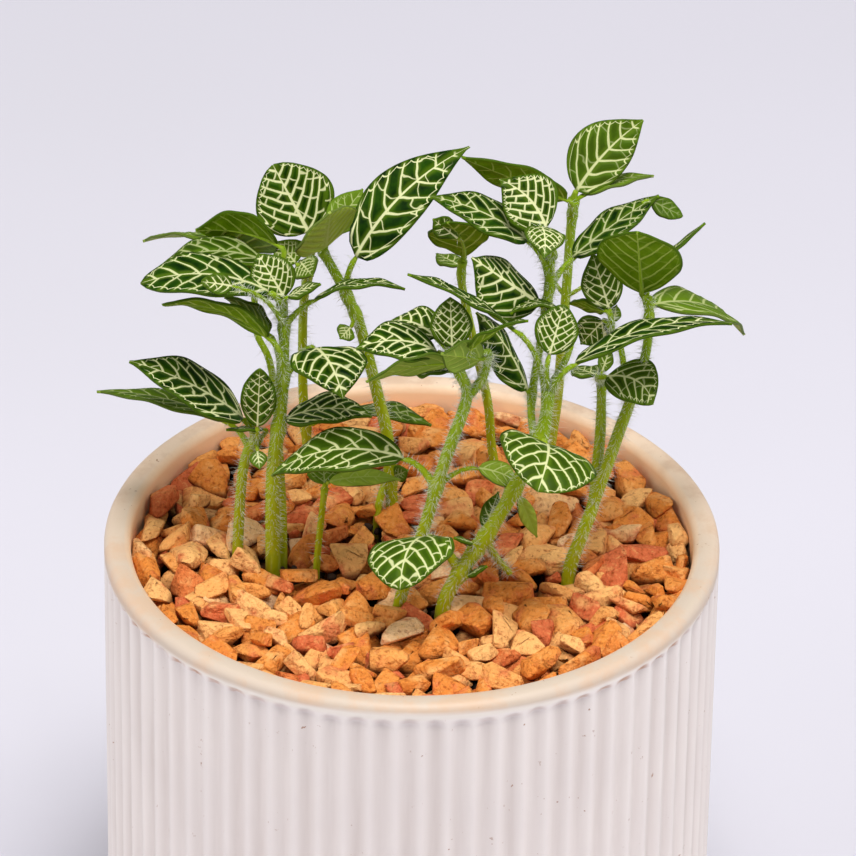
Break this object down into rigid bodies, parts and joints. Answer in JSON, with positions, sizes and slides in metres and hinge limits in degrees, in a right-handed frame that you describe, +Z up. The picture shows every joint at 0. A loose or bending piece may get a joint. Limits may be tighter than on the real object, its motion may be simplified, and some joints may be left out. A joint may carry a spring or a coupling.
{
  "type": "potted nerve plant",
  "caption": "Potted nerve plant: slender leafy stems with pale-veined green leaves, standing in crushed gravel in a ribbed round ceramic pot.",
  "frame": {"origin": "centre of the pot's flat foot, on the surface that it stands on", "axes": "+Z up through the plant, -Y towards the side that the picture shows, +X to the right in the picture"},
  "size_m": [0.1256, 0.12, 0.1968],
  "materials": {
    "ceramic": "matte",
    "soil": "matte",
    "gravel": "matte",
    "foliage": "satin"
  },
  "bodies": {
    "root": {"pot": "ceramic", "potting_soil": "soil", "gravel": "gravel", "stem_tall_left": "foliage", "stem_short_left": "foliage", "stem_back_left": "foliage", "stem_far_left": "foliage", "stem_middle": "foliage", "stem_sprout": "foliage", "stem_centre": "foliage", "stem_front": "foliage", "stem_back_middle": "foliage", "stem_back_right": "foliage", "stem_right": "foliage"}
  },
  "joints": []
}
